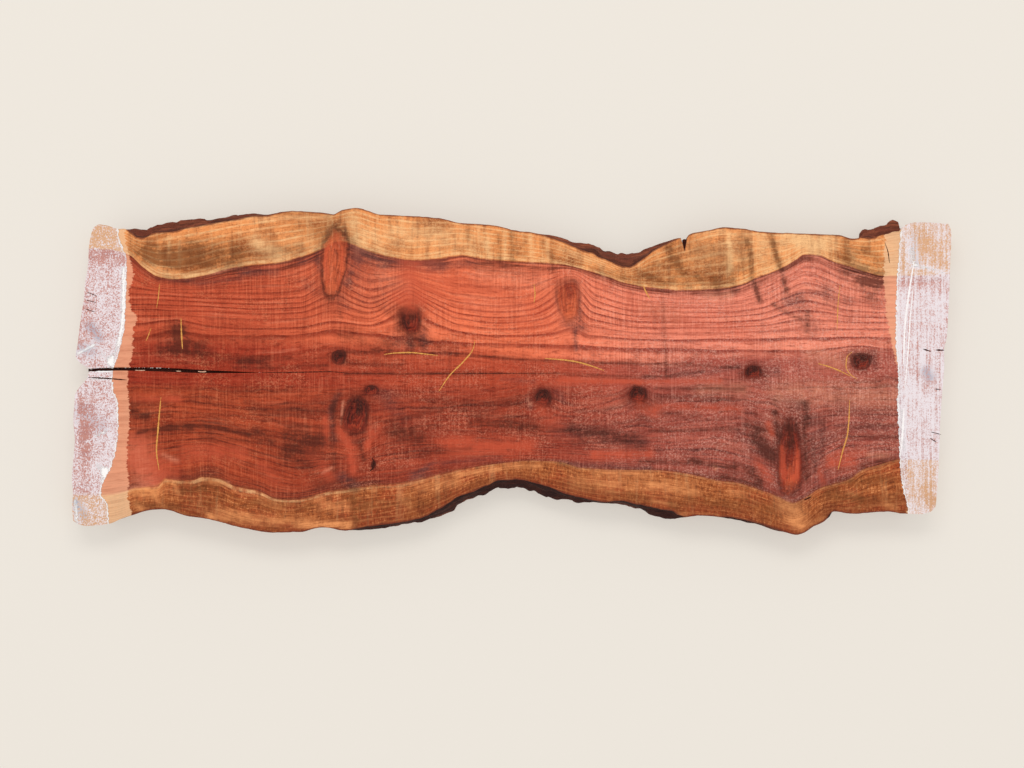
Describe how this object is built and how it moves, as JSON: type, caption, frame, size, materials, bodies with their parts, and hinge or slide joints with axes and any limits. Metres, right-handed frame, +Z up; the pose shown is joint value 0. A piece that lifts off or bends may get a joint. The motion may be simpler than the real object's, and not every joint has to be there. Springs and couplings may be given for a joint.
{
  "type": "redwood slab",
  "caption": "Flat sawn redwood slab with wavy live edges, strips of dark bark, a pith crack open at one end and waxed ends.",
  "frame": {"origin": "under the middle of the slab's box, on the surface it rests on", "axes": "+X along the log, +Y across it towards the edge with the bark chunk, +Z up through the thickness"},
  "size_m": [1.524, 0.565, 0.054],
  "materials": {
    "redwood": "sawn, wetted satin"
  },
  "bodies": {
    "root": {"slab": "redwood"}
  },
  "joints": []
}
